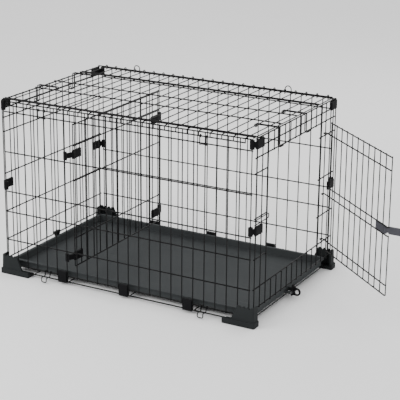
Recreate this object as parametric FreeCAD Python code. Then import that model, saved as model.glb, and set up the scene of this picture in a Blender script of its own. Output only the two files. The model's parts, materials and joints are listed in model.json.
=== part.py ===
import FreeCAD, Part
import math
import os

# Folding wire pet crate. Millimetres, +X towards the door end, -Y towards the front, +Z up.
# The floor is z = 0, and the middle of the wire body stands on the Z axis until the last step.

# Wire mesh
LONG_PITCH = 39.0
LONG_SPACES = 23
END_PITCH = 37.8
END_SPACES = 15
MESH_D = 3.4
RAIL_D = 4.2
MESH_SIDES = 8
RAIL_SIDES = 10
WELD = 0.1
WIRE_TAIL = 1.6
CORNER_STEP_X = 12.0
CORNER_STEP_Y = 9.0

# Levels of the long panels' rails
BASE_GAP = 19.0
SILL_Z = 117.5
LOW_Z = 215.5
MID_Z = 285.5
HIGH_Z = 420.0

# Levels of the end panels' rails, and drops from their top rail
END_FOOT_Z = 52.0
END_LOW_Z = 214.5
END_MID_Z = 344.0
END_HIGH_Z = 485.0
END_TOP_Z = 592.0
PANEL_TOP_DROP = 2.5
END_RAIL_DROP = 28.5
EYE_DROP = 37.0
HEADER_DROP = 59.5
DOOR_FIRST_SPACES = 2
DOOR_LAST_SPACES = 12

# Top panel
CURL_PLAY = 0.6
CURL_TURN = 260.0
CURL_LINKS = 6
LIP_OUT = 6.5
LIP_DROP = 16.0
LIP_BEND = 5.0
LIP_RAIL_RISE = 3.0
TOP_EDGE_GAP = 1.5
TOP_PAIR = 11.0
TOP_BACK_INSET = 20.0
TOP_THIRD = 110.0
TOP_DARK_GAP = 22.7
BEND_LINKS = 3

# Door, hung on an upright of the right end panel
DOOR_HUNG_SPACES = 13
DOOR_OPEN_TURN = 49.5
DOOR_PITCH = 37.2
DOOR_SPACES = 11
DOOR_FIRST_GAP = 27.0
DOOR_STANDOFF = 5.2
DOOR_BOTTOM_LAP = 20.5
DOOR_LOW_RISE = 12.5
DOOR_LATCH_LOW_Z = 287.0
DOOR_LATCH_HIGH_Z = 315.0
DOOR_HIGH_DROP = 41.0
DOOR_TOP_LAP = 1.5

# Door latch
LATCH_PLAY = 0.3
LATCH_LENGTH = 74.4
LATCH_THICK = 9.0
LATCH_ROUND = 2.0
EAR_T = 4.0
PIN_PLAY = 0.1
LEVER_LENGTH = 90.0
LEVER_NECK = 10.0
LEVER_THICK = 6.0
LEVER_HUB_R = 6.0
LEVER_PIN_R = 2.5
LEVER_PIN_IN = 20.0
LEVER_OPEN_TURN = 40.5
LEVER_LIP = 9.0
CATCH_RISE = 14.0
CATCH_GAP = 4.5
CATCH_REACH = 12.0

# Divider
DIVIDER_AT_SPACES = 6
DIVIDER_STEP_X = 12.0
DIVIDER_PITCH = 37.6
DIVIDER_SPACES = 14
DIVIDER_BOTTOM_Z = 64.0
DIVIDER_LOW_Z = 160.0
DIVIDER_MID_Z = 354.0
DIVIDER_PAIR_Z = 470.0
DIVIDER_TOP_DROP = 15.0
DIVIDER_CLIP_STEP = 20.5
DIVIDER_CRADLE = 1.0

# Plastic clips
CLIP_PLAY = 0.15
CLIP_H = 27.0
CLIP_LOBE_R = 7.5
CLIP_BOSS_R = 5.2
CLIP_PLATE_T = 8.0
CLIP_NECK = 6.0
CLIP_NECK_INSET = 5.0
CLIP_TOP_DROP = 17.0
CLIP_MID_Z = 306.0
TURN_PLAY = 0.4

# Rail clips and loops
RAIL_CLIP_SPACES = 6
RAIL_CLIP_W = 32.0
RAIL_CLIP_WALL = 4.5
RAIL_CLIP_ROUND = 3.6
RAIL_CLIP_FLOOR = 2.5
RAIL_CLIP_RISE = 16.0
LOOP_X = 292.5
LOOP_HALF = 11.0
LOOP_D = 3.2
LOOP_PLAY = 0.3
LOOP_STAND = 16.0

# Base hooks, in the long panels' bottom rails
BASE_HOOK_HALF = 9.5
BASE_HOOK_NECK = 8.5
BASE_HOOK_BEND = 4.0
BASE_HOOK_OUT = 22.0
BASE_HOOK_DROP = 26.5
BASE_HOOK_CORNER = 5.0

# Base grid and tray
SOLE_T = 10.0
SEAT = 0.2
BASE_CROSS_STEP = 26.0
BASE_CROSS_END = 104.5
TRAY_END_GAP = 8.0
TRAY_H = 26.0
TRAY_WALL = 2.5
TRAY_RIM = 9.0
TRAY_CORNER_R = 12.0
TRAY_RIM_T = 3.0
TRAY_TRAVEL_GAP = 2.5

# Tray pull and stop
PULL_Y = -14.0
PULL_W = 26.0
PULL_T = 5.0
PULL_TONGUE = 23.0
PULL_SHOULDER = 6.5
PULL_HEEL = 11.0
PULL_TIP_W = 8.6
PULL_RING_R = 13.0
PULL_RING_D = 5.0
PULL_PIN_R = 2.0
PULL_EAR = 4.0
PULL_EAR_R = 4.5
PULL_GAP = 1.0
STOP_W = 28.0
STOP_TIP_W = 9.4
STOP_T = 6.0
STOP_DROP = 22.0

# Corner feet
FOOT_LENGTH = 112.0
FOOT_STEP = 20.0
FOOT_TAPER = 50.0
FOOT_H = 66.0
FOOT_FLARE = 2.0
FOOT_PLINTH_H = 18.5
FOOT_PLINTH_OUT = 3.0
FOOT_WALL = 6.0
FOOT_RETURN = 20.0
FOOT_PLAY = 1.0
FOOT_TEETH = 3
FOOT_TOOTH_W = 9.0
FOOT_TOOTH_H = 7.0
FOOT_EDGE_R = 5.0

# End hooks, placed by the end panels' spaces
HOOK_D = 3.2
HOOK_HALF = 5.0
HOOK_RIGHT_SPACES = (3.5, 8.5)
HOOK_LEFT_SPACES = (5.5, 11.0)
HOOK_PIVOT_SPACES = 1.5
HOOK_STAND = 5.5
HOOK_DROP = 47.5
HOOK_BEND = 6.0
HOOK_CURL_R = 7.0
FRONT_HOOK_LEG = 26.0

# How far a cut runs past the piece
CUT_PAST = 1.0

# Derived levels
HINGE_Z = END_TOP_Z - PANEL_TOP_DROP
CLIP_TOP_Z = END_TOP_Z - CLIP_TOP_DROP
END_RAIL_Z = END_TOP_Z - END_RAIL_DROP
EYE_Z = END_TOP_Z - EYE_DROP
HEADER_Z = END_TOP_Z - HEADER_DROP
DOOR_BOTTOM_Z = SILL_Z - DOOR_BOTTOM_LAP
DOOR_LOW_Z = SILL_Z + DOOR_LOW_RISE
DOOR_TOP_Z = HEADER_Z + DOOR_TOP_LAP
DOOR_HIGH_Z = DOOR_TOP_Z - DOOR_HIGH_DROP
CATCH_LOW_Z = CLIP_MID_Z + CLIP_H / 2 + CATCH_GAP
DIVIDER_TOP_Z = EYE_Z - DIVIDER_TOP_DROP

# Derived places
LONG_HALF = LONG_PITCH * LONG_SPACES / 2
END_HALF = END_PITCH * END_SPACES / 2
LONG_Y = END_HALF + CORNER_STEP_Y
END_X = LONG_HALF + CORNER_STEP_X
LAYER = (MESH_D + RAIL_D) / 2 - WELD
LONG_RAIL_Y = LONG_Y - LAYER
END_RAIL_X = END_X - LAYER
CURL_R = RAIL_D / 2 + CURL_PLAY + MESH_D / 2
TOP_Z = HINGE_Z + CURL_R
TOP_RAIL_Z = TOP_Z + LAYER
BASE_Z = SOLE_T + SEAT + RAIL_D / 2
BASE_MESH_Z = BASE_Z + LAYER
FOOT_RAIL_Z = BASE_Z + BASE_GAP
TRAY_Z = BASE_MESH_Z + MESH_D / 2 + SEAT
TRAY_END = END_X - TRAY_END_GAP
TRAY_HALF = LONG_Y - FOOT_RETURN - TRAY_TRAVEL_GAP
PULL_X = END_X + MESH_D / 2 + PULL_GAP + PULL_T / 2
PULL_Z = TRAY_Z + PULL_EAR_R
EAR_Y = PULL_W / 2 + SEAT + PULL_EAR / 2
LIP_Y = -(LONG_Y + LIP_OUT)
LIP_RAIL_Y = LIP_Y - LAYER
LIP_RAIL_Z = TOP_Z - LIP_DROP + LIP_RAIL_RISE
RAIL_CLIP_X = LONG_PITCH * RAIL_CLIP_SPACES
RAIL_CLIP_PLACES = (-RAIL_CLIP_X, 0, RAIL_CLIP_X)
BASE_EYE_R = RAIL_D / 2 / math.cos(math.pi / RAIL_SIDES) + LOOP_PLAY + LOOP_D / 2
X_AXIS = FreeCAD.Vector(1, 0, 0)
Y_AXIS = FreeCAD.Vector(0, 1, 0)
Z_AXIS = FreeCAD.Vector(0, 0, 1)
NODES = {}


def vec(x, y, z):
    """Point or direction."""
    return FreeCAD.Vector(x, y, z)


def unit(v):
    """Direction of v, of length one."""
    return vec(v.x, v.y, v.z).normalize()


def section(centre, along, flat, cut, diameter, sides):
    """Corners of a wire's section, slid along the wire onto the plane whose normal is cut."""
    across = along.cross(flat)
    reach = diameter / 2 / math.cos(math.pi / sides)
    corners = []
    for k in range(sides):
        turn = (k + 0.5) * 2 * math.pi / sides
        arm = flat * (reach * math.cos(turn)) + across * (reach * math.sin(turn))
        corners.append(centre + arm - along * (arm.dot(cut) / along.dot(cut)))
    return corners


def polygon(corners):
    """Flat face through corners."""
    return Part.Face(Part.makePolygon(corners + [corners[0]]))


def skin(rings):
    """Solid with flat faces between rings of corners."""
    faces = [polygon(rings[0]), polygon(rings[-1])]
    for low, high in zip(rings, rings[1:]):
        for k in range(len(low)):
            faces.append(polygon([low[k - 1], low[k], high[k], high[k - 1]]))
    shell = Part.makeShell(faces)
    shell.sewShape()
    solid = Part.Solid(shell)
    if solid.Volume < 0:
        solid.reverse()
    return solid


def wire_rings(points, diameter, flat, sides):
    """Sections of a bent wire, mitred at its corners."""
    runs = [unit(b - a) for a, b in zip(points, points[1:])]
    mitres = [unit(a + b) for a, b in zip(runs, runs[1:])]
    cuts = [runs[0]] + mitres + [runs[-1]]
    along = runs + [runs[-1]]
    return [section(p, a, flat, c, diameter, sides) for p, a, c in zip(points, along, cuts)]


def bent(points, diameter, flat, sides=MESH_SIDES):
    """Bent wire as one solid, in the plane whose normal is flat."""
    return skin(wire_rings(points, diameter, flat, sides))


def links(points, diameter, flat, sides=MESH_SIDES, stops=None):
    """Bent wire as solids that meet on mitred faces, cut at every corner or at the corners in stops."""
    rings = wire_rings(points, diameter, flat, sides)
    last = len(points) - 1
    cuts = range(last + 1) if stops is None else [0, *stops, last]
    cuts = list(cuts)
    return [skin(rings[a:b + 1]) for a, b in zip(cuts, cuts[1:])]


def mesh(start, end, flat=Y_AXIS):
    """Straight mesh wire."""
    return bent([start, end], MESH_D, flat)


def rail(start, end, flat=Z_AXIS):
    """Straight rail."""
    return bent([start, end], RAIL_D, flat, RAIL_SIDES)


def arc(centre, radius, first, last, count, u, v):
    """Points on an arc, from angle first to angle last in degrees, measured from u towards v."""
    points = []
    for k in range(count + 1):
        turn = math.radians(first + (last - first) * k / count)
        points.append(centre + u * (radius * math.cos(turn)) + v * (radius * math.sin(turn)))
    return points


def one(shape):
    """The single solid of a boolean result."""
    return shape.removeSplitter().Solids[0]


def slot_block(a, b, half, low, high):
    """Upright block round the plan line from a to b, with round ends."""
    run = unit(b - a)
    side = vec(-run.y, run.x, 0) * half
    lift = vec(0, 0, low)
    edges = [
        Part.LineSegment(a + side + lift, b + side + lift),
        Part.Arc(b + side + lift, b + run * half + lift, b - side + lift),
        Part.LineSegment(b - side + lift, a - side + lift),
        Part.Arc(a - side + lift, a - run * half + lift, a + side + lift),
    ]
    outline = Part.Wire([edge.toShape() for edge in edges])
    return Part.Face(outline).extrude(vec(0, 0, high - low))


def rounded_box(x0, x1, half_y, z0, z1, radius):
    """Block whose upright edges are rounded."""
    box = Part.makeBox(x1 - x0, 2 * half_y, z1 - z0, vec(x0, -half_y, z0))
    upright = [e for e in box.Edges if abs(e.BoundBox.ZLength - (z1 - z0)) < 1e-6]
    return box.makeFillet(radius, upright)


def long_x(k):
    """Place of a long panel's upright."""
    return -LONG_HALF + LONG_PITCH * k


def end_y(k):
    """Place of an end panel's upright."""
    return -END_HALF + END_PITCH * k


def long_panel(side):
    """Front or back panel: uprights outside, rails inside."""
    y = side * LONG_Y
    rail_y = side * LONG_RAIL_Y
    solids = []
    for k in range(LONG_SPACES + 1):
        x = long_x(k)
        solids.append(mesh(vec(x, y, FOOT_RAIL_Z - WIRE_TAIL), vec(x, y, HINGE_Z + WIRE_TAIL)))
    reach = LONG_HALF + WIRE_TAIL
    for z in (FOOT_RAIL_Z, SILL_Z, LOW_Z, MID_Z, HIGH_Z, EYE_Z, HINGE_Z):
        solids.append(rail(vec(-reach, rail_y, z), vec(reach, rail_y, z)))
    return solids


def end_rails(side, levels, first, last):
    """Level rails of an end panel between two uprights."""
    x = side * END_RAIL_X
    low = end_y(first) - WIRE_TAIL
    high = end_y(last) + WIRE_TAIL
    return [rail(vec(x, low, z), vec(x, high, z)) for z in levels]


def end_upright(side, k, low, high):
    """Upright of an end panel between two levels."""
    x = side * END_X
    y = end_y(k)
    return mesh(vec(x, y, low - WIRE_TAIL), vec(x, y, high + WIRE_TAIL), X_AXIS)


def left_end():
    """End panel with a full grid."""
    solids = [end_upright(-1, k, END_FOOT_Z, END_TOP_Z) for k in range(END_SPACES + 1)]
    levels = (END_FOOT_Z, SILL_Z, END_LOW_Z, END_MID_Z, END_HIGH_Z, HEADER_Z, END_RAIL_Z, END_TOP_Z)
    return solids + end_rails(-1, levels, 0, END_SPACES)


def right_end():
    """End panel with the door opening."""
    solids = []
    for k in range(END_SPACES + 1):
        if DOOR_FIRST_SPACES < k < DOOR_LAST_SPACES:
            solids.append(end_upright(1, k, END_FOOT_Z, SILL_Z))
            solids.append(end_upright(1, k, HEADER_Z, END_TOP_Z))
        else:
            solids.append(end_upright(1, k, END_FOOT_Z, END_TOP_Z))
    whole = (END_FOOT_Z, SILL_Z, HEADER_Z, END_RAIL_Z, END_TOP_Z)
    margin = (END_LOW_Z, END_MID_Z, END_HIGH_Z)
    solids += end_rails(1, whole, 0, END_SPACES)
    solids += end_rails(1, margin, 0, DOOR_FIRST_SPACES)
    solids += end_rails(1, margin, DOOR_LAST_SPACES, END_SPACES)
    return solids


def top_cross_wire(x):
    """Cross wire of the top: a tooth over the front edge, and a curl round the back panel's top rail."""
    axis = vec(x, LONG_RAIL_Y, HINGE_Z)
    corner = vec(x, LIP_Y + LIP_BEND, TOP_Z - LIP_BEND)
    tooth = [vec(x, LIP_Y, TOP_Z - LIP_DROP)]
    tooth += arc(corner, LIP_BEND, 180, 90, BEND_LINKS, Y_AXIS, Z_AXIS)
    curl = arc(axis, CURL_R, 90, 90 - CURL_TURN, CURL_LINKS, Y_AXIS, Z_AXIS)
    stops = [len(tooth) - 1, len(tooth)]
    return links(tooth + curl, MESH_D, X_AXIS, stops=stops)


def top_panel():
    """Top grid with its long rails above the cross wires."""
    solids = []
    for k in range(LONG_SPACES):
        solids += top_cross_wire(long_x(k + 0.5))
    edge = END_RAIL_X - RAIL_D / 2 - TOP_EDGE_GAP
    front = -LONG_Y + LIP_BEND
    back = LONG_Y - TOP_BACK_INSET
    dark = end_y(HOOK_LEFT_SPACES[1]) + TOP_DARK_GAP
    for y in (front, front + TOP_PAIR, -TOP_THIRD, 0, dark, dark + TOP_PAIR, back):
        solids.append(rail(vec(-edge, y, TOP_RAIL_Z), vec(edge, y, TOP_RAIL_Z)))
    for side in (-1, 1):
        x = side * (edge - MESH_D / 2 - WIRE_TAIL)
        solids.append(mesh(vec(x, front - WIRE_TAIL, TOP_Z), vec(x, back + WIRE_TAIL, TOP_Z), Z_AXIS))
    reach = long_x(LONG_SPACES - 0.5) + WIRE_TAIL
    solids.append(rail(vec(-reach, LIP_RAIL_Y, LIP_RAIL_Z), vec(reach, LIP_RAIL_Y, LIP_RAIL_Z)))
    return solids


def base_grid():
    """Grid under the tray: two long rails on the feet, cross wires above them."""
    solids = []
    reach = LONG_HALF + WIRE_TAIL
    for y in (-LONG_RAIL_Y, LONG_RAIL_Y):
        solids.append(rail(vec(-reach, y, BASE_Z), vec(reach, y, BASE_Z)))
    reach = LONG_RAIL_Y + WIRE_TAIL
    beside = [x + BASE_CROSS_STEP for x in RAIL_CLIP_PLACES]
    for x in [-LONG_HALF, BASE_CROSS_END - LONG_HALF] + beside + [LONG_HALF]:
        solids.append(mesh(vec(x, -reach, BASE_MESH_Z), vec(x, reach, BASE_MESH_Z), Z_AXIS))
    return solids


def hole_r(diameter, sides, play):
    """Radius of a round hole that clears a wire's corners."""
    return diameter / 2 / math.cos(math.pi / sides) + play


def upright_hole(x, y, low, high, play):
    """Round hole for a mesh upright, longer than the piece it goes through."""
    length = high - low + 2 * CUT_PAST
    return Part.makeCylinder(hole_r(MESH_D, MESH_SIDES, play), length, vec(x, y, low - CUT_PAST))


def level_hole(start, run, length, play):
    """Round hole for a rail."""
    return Part.makeCylinder(hole_r(RAIL_D, RAIL_SIDES, play), length, start, run)


def two_lobe_clip(lobe, near, far, low, high):
    """Clip with a round lobe on one wire, a neck, and a plate with a boss over the panel it holds."""
    lift = vec(0, 0, low)
    body = Part.makeCylinder(CLIP_LOBE_R, high - low, lobe + lift)
    body = body.fuse(Part.makeCylinder(CLIP_BOSS_R, high - low, far + lift))
    neck = slot_block(lobe, near, CLIP_NECK / 2, low + CLIP_NECK_INSET, high - CLIP_NECK_INSET)
    body = body.fuse(neck)
    return body.fuse(slot_block(near, far, CLIP_PLATE_T / 2, low, high))


def corner_clip(side_x, side_y, middle):
    """Clip that holds an end panel to a long panel's edge wire."""
    low = middle - CLIP_H / 2
    high = middle + CLIP_H / 2
    lobe = vec(LONG_HALF, -LONG_Y, 0)
    near = vec(END_X, end_y(0), 0)
    far = vec(END_X, end_y(1), 0)
    body = two_lobe_clip(lobe, near, far, low, high)
    for wire in (lobe, near, far):
        body = body.cut(upright_hole(wire.x, wire.y, low, high, CLIP_PLAY))
    start = vec(LONG_HALF - CLIP_H, -LONG_RAIL_Y, HINGE_Z)
    body = body.cut(level_hole(start, X_AXIS, CLIP_H + WIRE_TAIL + CLIP_PLAY, CLIP_PLAY))
    for z in (END_RAIL_Z, END_TOP_Z, END_MID_Z):
        start = vec(END_RAIL_X, end_y(0) - WIRE_TAIL - CLIP_PLAY, z)
        body = body.cut(level_hole(start, Y_AXIS, END_PITCH + CLIP_H, CLIP_PLAY))
    body = one(body)
    if side_x < 0:
        body = body.mirror(vec(0, 0, 0), X_AXIS)
    if side_y > 0:
        body = body.mirror(vec(0, 0, 0), Y_AXIS)
    return body


DIVIDER_WIRE_X = long_x(DIVIDER_AT_SPACES)
DIVIDER_X = DIVIDER_WIRE_X + DIVIDER_STEP_X
DIVIDER_HALF = DIVIDER_PITCH * DIVIDER_SPACES / 2


def divider():
    """Wire panel across the crate, with its rails on the door side."""
    solids = []
    for k in range(DIVIDER_SPACES + 1):
        y = -DIVIDER_HALF + DIVIDER_PITCH * k
        low = vec(DIVIDER_X, y, DIVIDER_BOTTOM_Z - WIRE_TAIL)
        solids.append(mesh(low, vec(DIVIDER_X, y, DIVIDER_TOP_Z + WIRE_TAIL), X_AXIS))
    x = DIVIDER_X + LAYER
    reach = DIVIDER_HALF + WIRE_TAIL
    levels = (DIVIDER_BOTTOM_Z, DIVIDER_LOW_Z, DIVIDER_MID_Z, DIVIDER_PAIR_Z, DIVIDER_TOP_Z)
    for z in levels:
        solids.append(rail(vec(x, -reach, z), vec(x, reach, z)))
    return solids


def divider_clip(side, middle):
    """Clip on a long panel's upright: a ring at the back that turns, an open cradle at the front."""
    low = middle - CLIP_H / 2
    high = middle + CLIP_H / 2
    lobe = vec(DIVIDER_WIRE_X, side * LONG_Y, 0)
    near = vec(DIVIDER_X, side * DIVIDER_HALF, 0)
    far = vec(DIVIDER_X, side * (DIVIDER_HALF - DIVIDER_PITCH), 0)
    body = two_lobe_clip(lobe, near, far, low, high)
    for wire in (near, far):
        body = body.cut(upright_hole(wire.x, wire.y, low, high, CLIP_PLAY))
    body = body.cut(upright_hole(lobe.x, lobe.y, low, high, TURN_PLAY))
    if side < 0:
        wide = 4 * CLIP_LOBE_R
        open_half = hole_r(MESH_D, MESH_SIDES, TURN_PLAY)
        corner = vec(lobe.x - wide, lobe.y - wide, low - CUT_PAST)
        tall = CLIP_H + 2 * CUT_PAST
        body = body.cut(Part.makeBox(2 * wide, wide + DIVIDER_CRADLE, tall, corner))
        body = body.cut(Part.makeBox(wide, wide + open_half, tall, corner))
    return one(body)


HINGE = vec(END_X, end_y(DOOR_HUNG_SPACES), 0)
DOOR_LAST_S = DOOR_FIRST_GAP + DOOR_PITCH * DOOR_SPACES
DOOR_MESH_O = DOOR_STANDOFF + LAYER


def door_point(s, o, z):
    """Point on the closed door: s from the hinge towards the front, o outwards."""
    return vec(HINGE.x + o, HINGE.y - s, z)


def opened(shape):
    """Shape of the closed door, turned to where the door stands open."""
    shape.rotate(HINGE, Z_AXIS, DOOR_OPEN_TURN)
    return shape


def door_rail(z, hinged):
    """Level rail of the door, curled round the hinge upright if it is hinged."""
    end = door_point(DOOR_LAST_S + WIRE_TAIL, DOOR_STANDOFF, z)
    if not hinged:
        return [rail(door_point(DOOR_FIRST_GAP - WIRE_TAIL, DOOR_STANDOFF, z), end)]
    curl = arc(vec(HINGE.x, HINGE.y, z), DOOR_STANDOFF, CURL_TURN, 0, CURL_LINKS, X_AXIS, Y_AXIS)
    return links(curl + [end], RAIL_D, Z_AXIS, RAIL_SIDES, [CURL_LINKS])


def door():
    """Wire door with curled hinge ends and a gap for the latch in its free edge."""
    solids = []
    for k in range(DOOR_SPACES + 1):
        s = DOOR_FIRST_GAP + DOOR_PITCH * k
        spans = [(DOOR_BOTTOM_Z, DOOR_TOP_Z)]
        if k == DOOR_SPACES:
            spans = [(DOOR_BOTTOM_Z, DOOR_LATCH_LOW_Z), (DOOR_LATCH_HIGH_Z, DOOR_TOP_Z)]
        for low, high in spans:
            start = door_point(s, DOOR_MESH_O, low - WIRE_TAIL)
            solids.append(mesh(start, door_point(s, DOOR_MESH_O, high + WIRE_TAIL), X_AXIS))
    for z in (DOOR_BOTTOM_Z, DOOR_LATCH_HIGH_Z, DOOR_TOP_Z):
        solids += door_rail(z, False)
    for z in (DOOR_LOW_Z, DOOR_LATCH_LOW_Z, DOOR_HIGH_Z):
        solids += door_rail(z, True)
    return [opened(solid) for solid in solids]


LATCH_LOW = DOOR_LATCH_LOW_Z + hole_r(RAIL_D, RAIL_SIDES, LATCH_PLAY)
LATCH_HIGH = DOOR_LATCH_HIGH_Z - hole_r(RAIL_D, RAIL_SIDES, LATCH_PLAY)
LEVER_LOW = LATCH_LOW + EAR_T
LEVER_HIGH = LATCH_HIGH - EAR_T
PIN_S = DOOR_LAST_S - LEVER_PIN_IN
PIN = door_point(PIN_S, DOOR_MESH_O, 0)


def latch_housing():
    """Moulded block between two door rails, with a fork for the lever."""
    back = door_point(DOOR_LAST_S - LATCH_LENGTH, DOOR_MESH_O, 0)
    front = door_point(PIN_S - LEVER_HUB_R - LATCH_ROUND, DOOR_MESH_O, 0)
    half = LATCH_THICK / 2
    body = slot_block(back, front, half, LATCH_LOW, LATCH_HIGH)
    ears = slot_block(front, PIN, half, LATCH_LOW, LATCH_HIGH)
    fork = vec(0, 0, LEVER_LOW - LATCH_PLAY)
    tall = LEVER_HIGH - LEVER_LOW + 2 * LATCH_PLAY
    gap = Part.makeCylinder(LEVER_HUB_R + LATCH_ROUND, tall, PIN + fork)
    body = body.fuse(ears).cut(gap)
    body = body.cut(Part.makeCylinder(LEVER_PIN_R + PIN_PLAY, LATCH_HIGH, PIN))
    for k in range(1, DOOR_SPACES):
        wire = door_point(DOOR_FIRST_GAP + DOOR_PITCH * k, DOOR_MESH_O, 0)
        body = body.cut(upright_hole(wire.x, wire.y, LATCH_LOW, LATCH_HIGH, CLIP_PLAY))
    return opened(one(body))


def latch_pin():
    """Pin through the fork and the lever."""
    return opened(Part.makeCylinder(LEVER_PIN_R, LATCH_HIGH - LATCH_LOW, PIN + vec(0, 0, LATCH_LOW)))


def latch_lever():
    """Lever with a round hub, a tall paddle and a finger lip, swung out from the door."""
    neck = door_point(PIN_S + LEVER_NECK + LEVER_THICK / 2, DOOR_MESH_O, 0)
    tip = door_point(PIN_S + LEVER_LENGTH, DOOR_MESH_O, 0)
    lip = tip + vec(LEVER_LIP, 0, 0)
    half = LEVER_THICK / 2
    body = Part.makeCylinder(LEVER_HUB_R, LEVER_HIGH - LEVER_LOW, PIN + vec(0, 0, LEVER_LOW))
    body = body.fuse(slot_block(PIN, neck, half, LEVER_LOW, LEVER_HIGH))
    body = body.fuse(slot_block(neck, tip, half, LATCH_LOW, LATCH_HIGH))
    body = body.fuse(slot_block(tip, lip, half, LATCH_LOW, LATCH_HIGH))
    body = one(body.cut(Part.makeCylinder(LEVER_PIN_R + PIN_PLAY, LATCH_HIGH, PIN)))
    body.rotate(PIN, Z_AXIS, LEVER_OPEN_TURN)
    return opened(body)


def door_catch():
    """Wire hairpin welded to the margin's uprights, reaching into the door opening."""
    x = END_X - (MESH_D + LOOP_D) / 2 + WELD
    start = end_y(0) - WIRE_TAIL
    end = end_y(DOOR_FIRST_SPACES) + CATCH_REACH
    bend = CATCH_RISE / 2
    nose = arc(vec(x, end, CATCH_LOW_Z + bend), bend, -90, 90, CURL_LINKS, Y_AXIS, Z_AXIS)
    points = [vec(x, start, CATCH_LOW_Z)] + nose + [vec(x, start, CATCH_LOW_Z + CATCH_RISE)]
    return links(points, LOOP_D, X_AXIS, stops=[1, len(points) - 2])


def end_hook(side, space):
    """Wire hairpin: eyes on a cross wire of the top, a run over the edge and a leg with a finger curl."""
    along = vec(side, 0, 0)
    eye_r = hole_r(MESH_D, MESH_SIDES, CURL_PLAY) + HOOK_D / 2
    pivot_x = LONG_HALF - HOOK_PIVOT_SPACES * LONG_PITCH
    leg_x = END_X + HOOK_STAND
    run_z = TOP_Z + eye_r
    foot_z = TOP_Z - HOOK_DROP
    solids = []
    for y in (end_y(space) - HOOK_HALF, end_y(space) + HOOK_HALF):
        base = vec(0, y, 0)
        pivot = base + along * pivot_x + Z_AXIS * TOP_Z
        eye = arc(pivot, eye_r, 90 + CURL_TURN, 90, CURL_LINKS, along, Z_AXIS)
        corner = base + along * (leg_x - HOOK_BEND) + Z_AXIS * (run_z - HOOK_BEND)
        bend = arc(corner, HOOK_BEND, 90, 0, BEND_LINKS, along, Z_AXIS)
        curl_mid = base + along * (leg_x + HOOK_CURL_R) + Z_AXIS * foot_z
        curl = arc(curl_mid, HOOK_CURL_R, 180, 360, CURL_LINKS, along, Z_AXIS)
        points = eye + bend + curl
        stops = [CURL_LINKS, CURL_LINKS + 1, len(eye) + BEND_LINKS, len(eye) + len(bend)]
        solids += links(points, HOOK_D, Y_AXIS, stops=stops)
    grip = along * (leg_x + 2 * HOOK_CURL_R) + Z_AXIS * (foot_z + HOOK_D / 2 - WELD)
    wide = vec(0, HOOK_HALF + HOOK_D / 2, 0)
    middle = vec(0, end_y(space), 0) + grip
    solids.append(bent([middle - wide, middle + wide], HOOK_D, Z_AXIS))
    return solids


def front_hook(side):
    """Wire hairpin that hangs from the top's front lip over the front panel."""
    eye_r = hole_r(RAIL_D, RAIL_SIDES, CURL_PLAY) + HOOK_D / 2
    axis = vec(0, LIP_RAIL_Y, LIP_RAIL_Z)
    foot = vec(0, LIP_RAIL_Y - eye_r, LIP_RAIL_Z - FRONT_HOOK_LEG)
    tip_y = LIP_Y - HOOK_D / 2
    solids = []
    for shift in (-LOOP_HALF, LOOP_HALF):
        base = vec(side * LOOP_X + shift, 0, 0)
        eye = arc(base + axis, eye_r, 180 - CURL_TURN, 180, CURL_LINKS, Y_AXIS, Z_AXIS)
        tip = base + vec(0, tip_y, foot.z)
        points = eye + [base + foot, tip]
        solids += links(points, HOOK_D, X_AXIS, stops=[CURL_LINKS, CURL_LINKS + 1])
    middle = vec(side * LOOP_X, tip_y + HOOK_D / 2 - WELD, foot.z)
    wide = vec(LOOP_HALF + HOOK_D / 2, 0, 0)
    solids.append(bent([middle - wide, middle + wide], HOOK_D, Y_AXIS))
    return solids


def back_loop(side):
    """Round wire loop that stands on the top's back rail."""
    y = LONG_Y - TOP_BACK_INSET
    low = TOP_RAIL_Z + RAIL_D / 2
    middle = vec(side * LOOP_X, y, low + LOOP_STAND - LOOP_HALF)
    hoop = arc(middle, LOOP_HALF, 0, 180, CURL_LINKS, X_AXIS, Z_AXIS)
    ends = [vec(side * LOOP_X + shift, y, low) for shift in (LOOP_HALF, -LOOP_HALF)]
    return links([ends[0]] + hoop + [ends[1]], LOOP_D, Y_AXIS)


def base_loop(side_x, side_y):
    """Wire hook that hangs in a long panel's bottom rail, steps outwards and ends in a finger loop."""
    out = vec(0, side_y, 0)
    bend = BASE_HOOK_BEND
    leg_end = BASE_EYE_R + BASE_HOOK_OUT
    middle = vec(side_x * LOOP_X, side_y * LONG_RAIL_Y, FOOT_RAIL_Z)
    upper = out * (BASE_EYE_R + bend) - Z_AXIS * BASE_HOOK_NECK
    lower = out * (leg_end - bend) - Z_AXIS * (BASE_HOOK_NECK + 2 * bend)
    points = arc(vec(0, 0, 0), BASE_EYE_R, CURL_TURN, 0, CURL_LINKS, out, Z_AXIS)
    points += arc(upper, bend, 180, 270, BEND_LINKS, out, Z_AXIS)
    points += arc(lower, bend, 90, 0, BEND_LINKS, out, Z_AXIS)
    first = CURL_LINKS + 1
    second = first + BEND_LINKS + 1
    stops = [CURL_LINKS, first, first + BEND_LINKS, second]
    solids = []
    loop = []
    for side, turn in ((-1, 180), (1, 270)):
        place = middle + X_AXIS * (side * BASE_HOOK_HALF)
        wire = [place + p for p in points]
        solids += links(wire, LOOP_D, X_AXIS, stops=stops)
        corner = middle + out * leg_end + X_AXIS * (side * (BASE_HOOK_HALF - BASE_HOOK_CORNER))
        corner -= Z_AXIS * (BASE_HOOK_DROP - BASE_HOOK_CORNER)
        loop += [wire[-1]] + arc(corner, BASE_HOOK_CORNER, turn, turn + 90, BEND_LINKS, X_AXIS, Z_AXIS)
    last = loop.pop(BEND_LINKS + 2)
    return solids + links(loop + [last], LOOP_D, Y_AXIS)


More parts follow.
